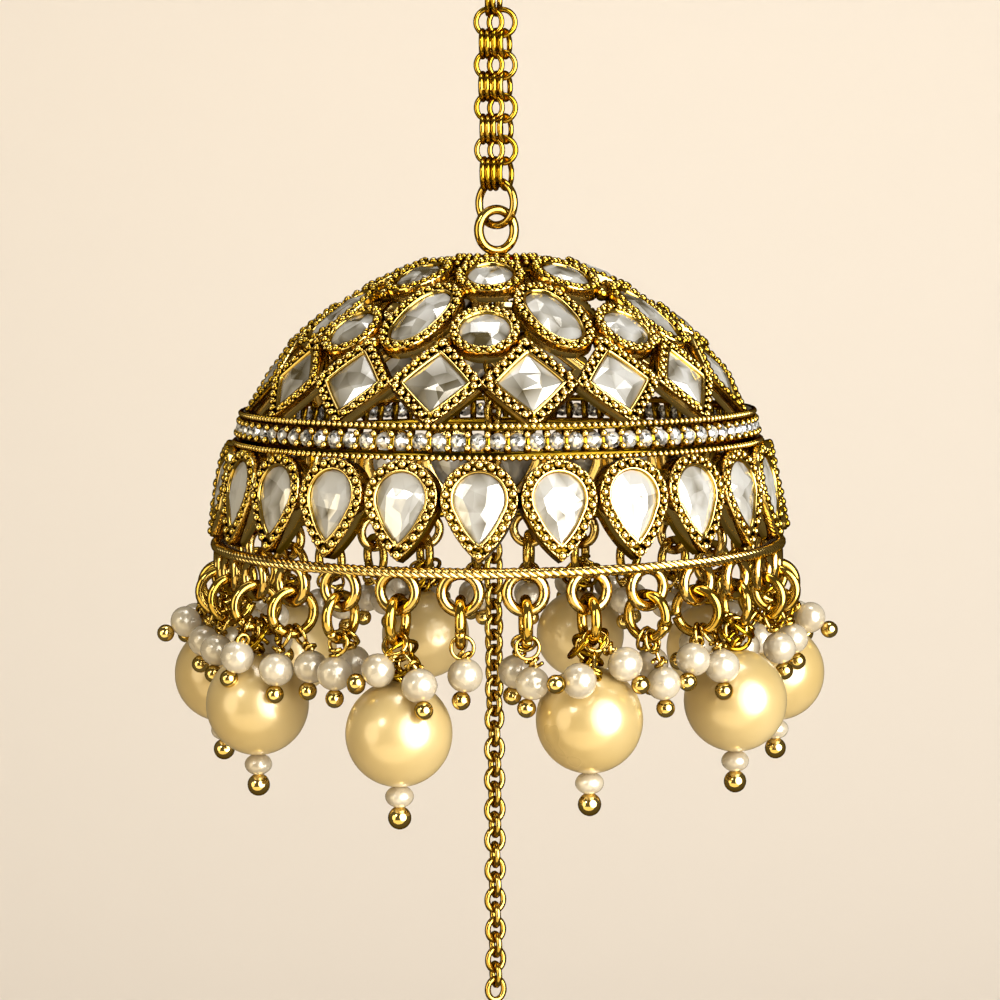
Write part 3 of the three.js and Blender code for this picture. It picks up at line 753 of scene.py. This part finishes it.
def hang_drops(loop):
    """A rim loop's jump ring and small drops, and on every third loop a large pearl."""
    turn_to_loop = turned(FIRST_LOOP_AT + loop * 360 / LOOPS["count"])
    heavy = (loop - 1) % 3 == 0
    turn = math.radians(RING_TURNS.get(loop, 0))
    centre = np.array([0, -LOOPS["circle"], JUMP_RING["height"]])
    out = np.array([math.sin(turn), -math.cos(turn), 0])  # the way the jump ring's plane runs outwards

    at = turn_to_loop @ moved(*centre) @ turned(90 + math.degrees(turn))
    cut = rng.uniform(100, 260)
    open_ring = circle(JUMP_RING["radius"], 34, cut, 357.0)
    jump_rings.add(tube(open_ring, JUMP_RING["wire"], 10, tone=0.6), at)

    def to_world(v):
        return turn_to_loop[:3, :3] @ np.asarray(v, float)

    usual = PAIR_OVER_BIG_PEARL if heavy else PLAIN_PAIR
    for (along, outwards, low), tip in SMALL_DROPS.get(loop, usual):
        middle = np.array([along, -LOOPS["circle"] - outwards, PIVOT - low])
        way = unit([tip[0], -tip[1], tip[2]])
        pull = middle - centre
        pull = unit(out * np.dot(pull, out) + np.array([0, 0, 1]) * pull[2])
        hook = centre + JUMP_RING["radius"] * pull
        tangent = np.cross(pull, np.cross(out, [0, 0, 1]))
        entry = middle - way * (SMALL_PEARL - 0.06)
        wrapped_eye(to_world(hook), to_world(tangent), to_world(entry), SMALL_EYE, PIN_WIRE, 1.5)
        small_pearl = sphere(SMALL_PEARL * rng.uniform(0.97, 1.03), 20, 14, 0.96)
        small_pearls.add(small_pearl, aligned(to_world(way), to_world(middle)))
        end = middle + way * (SMALL_PEARL + 0.78 * BALL)
        wires.add(tube([to_world(middle), to_world((middle + end) / 2), to_world(end)], PIN_WIRE, 6))
        wires.add(sphere(BALL, 14, 10, dark=0.6), aligned(to_world(way), to_world(end)))

    if heavy:
        middle = np.array([0, -LOOPS["circle"], PIVOT - BIG_PEARL["drop"] - LOW_PEARLS.get(loop, 0)])
        top = middle + [0, 0, BIG_PEARL["radius"] - 0.1]
        hook = centre - [0, 0, JUMP_RING["radius"]]
        wrapped_eye(to_world(hook), to_world(out), to_world(top), BIG_EYE, BIG_PIN_WIRE, 1.0)
        for wide, turns, lowest, highest in NEST:
            lean = 0.6 * unit([*rng.normal(0, 1, 2), 0])
            start, end = to_world(top + [0, 0, highest]) + lean, to_world(top + [0, 0, lowest]) - lean
            # The nest's coils are toned dark: painted shade among them.
            wires.add(tube(wrap(start, end, wide, turns, 0.1, rng.uniform(0, 6)), NEST_WIRE, 8, tone=0.45))
        big_pearls.add(sphere(BIG_PEARL["radius"], 48, 32), aligned((0, 0, 1), to_world(middle)))
        seed = middle - [0, 0, BIG_PEARL["radius"] + SEED["height"] * 0.93]
        seeds.add(sphere(SEED["radius"], 20, 14, SEED["height"] / SEED["radius"]), moved(*to_world(seed)))
        end = seed - [0, 0, SEED["height"] + 0.88 * SEED["ball"]]
        wires.add(sphere(SEED["ball"], 18, 12, dark=0.6), moved(*to_world(end)))
        wires.add(tube([to_world(top + [0, 0, 0.4]), to_world(middle), to_world(end)], BIG_PIN_WIRE, 6))


for loop in loop_numbers:
    hang_drops(loop)

ring_nodes = [n for n in frame["nodes"] if n.startswith("drop_ring_")]
pin_nodes = [n for n in frame["nodes"] if n.startswith("big_pearl_pin_")]
pearl_nodes = [n for n in frame["nodes"] if n.startswith("big_pearl_") and n not in pin_nodes]
jump_rings.piece("jump_rings", "dome", "pale_gold", pale_gold, ring_nodes)
wires.piece("drop_pins", "dome", "pale_gold", pale_gold, ring_nodes + pin_nodes)
small_pearls.piece("small_pearls", "dome", "white_pearl", white, ring_nodes)
big_pearls.piece("big_pearls", "dome", "champagne_pearl", champagne, pearl_nodes)
seeds.piece("seed_pearls", "dome", "white_pearl", white, pin_nodes)

# ---- chains ----
# The chains are toned to how lit they look: painted light and shade.
upper = Gathering()


def level(links, z, radius):
    """One level of the upper chain's links."""
    for x, y, turn in links:
        place = moved(x, y, z + rng.uniform(-0.03, 0.03)) @ turned(turn + rng.uniform(-3, 3))
        upper.add(ring(radius, UPPER_LINK["wire"], 30, 10, tone=0.52), place)


for i in range(UPPER_LINK["levels"]):
    z = UPPER_LINK["first"] + i * UPPER_LINK["pitch"]
    level(NARROW_LEVEL if i % 2 else WIDE_LEVEL, z, UPPER_LINK["radius"])
level(END_LEVEL, *UPPER_ENDS["bottom"])
level(NARROW_LEVEL[1:3], *UPPER_ENDS["top"])
upper.piece("upper_chain_links", "root", "antique_gold", antique_gold, ["upper_chain"])

connector = Gathering()
connector.add(
    ring(CONNECTOR["radius"], CONNECTOR["wire"] - FINER_CONNECTOR, 44, 12, tone=0.6),
    moved(0, 0, CONNECTOR["height"]) @ turned(CONNECTOR["turn"]),
)
connector.piece("connector_wire", "root", "antique_gold", antique_gold, ["connector_ring"])

hanger = Gathering()
hang_height = HANG_RING["wire"] - HANG_RING["radius"]
hanger.add(ring(HANG_RING["radius"], HANG_RING["wire"], 44, 12, tone=0.6), moved(0, 0, hang_height))
hanger.piece("hang_ring_wire", "root", "antique_gold", antique_gold, ["hang_ring"], lift=0.0)

lower = Gathering()
link = ring(LOWER_LINK["radius"], LOWER_LINK["wire"], 24, 8, LOWER_LINK["squeeze"], tone=0.6)
many = round((LOWER_CHAIN["top"] - LOWER_CHAIN["bottom"]) / LOWER_LINK["pitch"]) + 1
for i in range(many):
    z = LOWER_CHAIN["top"] - i * LOWER_LINK["pitch"]
    untwist = min(max((UNTWIST["start"] - z) / UNTWIST["over"], 0), 1)
    turn = 45 - 90 * (i % 2) - UNTWIST["turn"] * untwist + rng.uniform(-5, 5)
    lower.add(link, moved(LOWER_CHAIN["x"], 0, z) @ turned(turn))
lower.piece("lower_chain_links", "dome", "antique_gold", antique_gold, ["lower_chain"])


# ---- stage, light and camera ----
def sweep():
    """A pale floor that curves up into a wall behind the object."""
    floor_z, wall_top, width = -0.22, 1.6, 4.0
    front, depth, bend, steps = -1.6, 0.55, 0.25, 12
    profile = [(front, floor_z), (depth - bend, floor_z)]
    for i in range(1, steps + 1):
        angle = math.pi / 2 * i / steps
        profile.append((depth - bend + bend * math.sin(angle), floor_z + bend - bend * math.cos(angle)))
    profile.append((depth, wall_top))
    points = [(x, y, z) for y, z in profile for x in (-width / 2, width / 2)]
    faces = [(2 * i, 2 * i + 1, 2 * i + 3, 2 * i + 2) for i in range(len(profile) - 1)]
    mesh = bpy.data.meshes.new("sweep")
    mesh.from_pydata(points, [], faces)
    mesh.polygons.foreach_set("use_smooth", np.full(len(faces), True))
    paper, _, _, shader = material("backdrop")
    shader.inputs["Roughness"].default_value = 0.8
    shader.inputs["Base Color"].default_value = (0.8, 0.735, 0.66, 1)
    mesh.materials.append(paper)
    obj = bpy.data.objects.new("sweep", mesh)
    obj.visible_glossy = False  # the gold mirrors a dark room, as in the photograph
    bpy.context.scene.collection.objects.link(obj)


def soft_light(name, at, size, power, colour=(1, 1, 1), aim=(0, 0, -0.05), glint=False):
    """An area light. A glint is one that only shows in polished surfaces."""
    data = bpy.data.lights.new(name, "AREA")
    data.shape = "ELLIPSE"
    data.size, data.size_y = size
    data.energy = power
    data.color = colour
    obj = bpy.data.objects.new(name, data)
    obj.location = at
    obj.rotation_mode = "QUATERNION"
    obj.rotation_quaternion = (Vector(aim) - Vector(at)).to_track_quat("-Z", "Y")
    obj.visible_diffuse = not glint
    bpy.context.scene.collection.objects.link(obj)


def studio_world():
    """A dim warm room for the gold to mirror. The camera sees a pale one past the backdrop's edges."""
    world = bpy.data.worlds.new("studio")
    world.use_nodes = True
    nodes, links = world.node_tree.nodes, world.node_tree.links
    room, beyond = nodes["Background"], nodes.new("ShaderNodeBackground")
    room.inputs["Color"].default_value = (1.0, 0.85, 0.58, 1)
    room.inputs["Strength"].default_value = 0.17
    beyond.inputs["Color"].default_value = (0.9, 0.8, 0.67, 1)
    seen, either = nodes.new("ShaderNodeLightPath"), nodes.new("ShaderNodeMixShader")
    links.new(seen.outputs["Is Camera Ray"], either.inputs["Fac"])
    links.new(room.outputs["Background"], either.inputs[1])
    links.new(beyond.outputs["Background"], either.inputs[2])
    links.new(either.outputs["Shader"], nodes["World Output"].inputs["Surface"])
    bpy.context.scene.world = world


def photo_camera():
    """The camera at the photograph's viewing angle."""
    lens = bpy.data.cameras.new("camera")
    lens.sensor_width = 36.0
    lens.lens = CAMERA["lens"]
    lens.clip_start, lens.clip_end = 0.02, 10.0
    lens.shift_x = CAMERA["shift"]
    viewer = bpy.data.objects.new("camera", lens)
    viewer.matrix_world = (
        Matrix.Translation((0, -CAMERA["distance"] * MM, (CAMERA["height"] + RIM_Z) * MM))
        @ Matrix.Rotation(math.pi / 2 - math.radians(CAMERA["pitch"]), 4, "X")
        @ Matrix.Rotation(math.radians(CAMERA["roll"]), 4, "Z")
    )
    bpy.context.scene.collection.objects.link(viewer)
    bpy.context.scene.camera = viewer


sweep()
# The light called under stands low enough that only its upper part clears the floor.
soft_light("key", (0.4, -0.42, 0.03), (0.6, 0.6), 5.8, (1.0, 0.985, 0.95))
soft_light("glint", (0.34, -0.48, 0.06), (0.74, 0.86), 11.5, (1.0, 0.98, 0.93), glint=True)
soft_light("left_glint", (-0.36, -0.45, 0.25), (0.16, 0.16), 0.9, (1.0, 0.98, 0.93), glint=True)
soft_light("fill", (-0.55, -0.35, 0.0), (0.4, 0.5), 1.6, (1.0, 0.86, 0.6))
soft_light("under", (-0.05, -0.3, -0.27), (0.9, 0.25), 1.0, (1.0, 0.83, 0.52))
soft_light("top", (0.05, -0.05, 0.55), (0.3, 0.25), 1.5, (1.0, 0.98, 0.95))
soft_light("wall", (-0.2, 0.1, 0.8), (1.2, 0.2), 1.7, (1.0, 0.99, 1.0), aim=(-0.1, 0.55, -0.05))
studio_world()
bpy.context.scene.view_settings.view_transform = "Standard"
photo_camera()
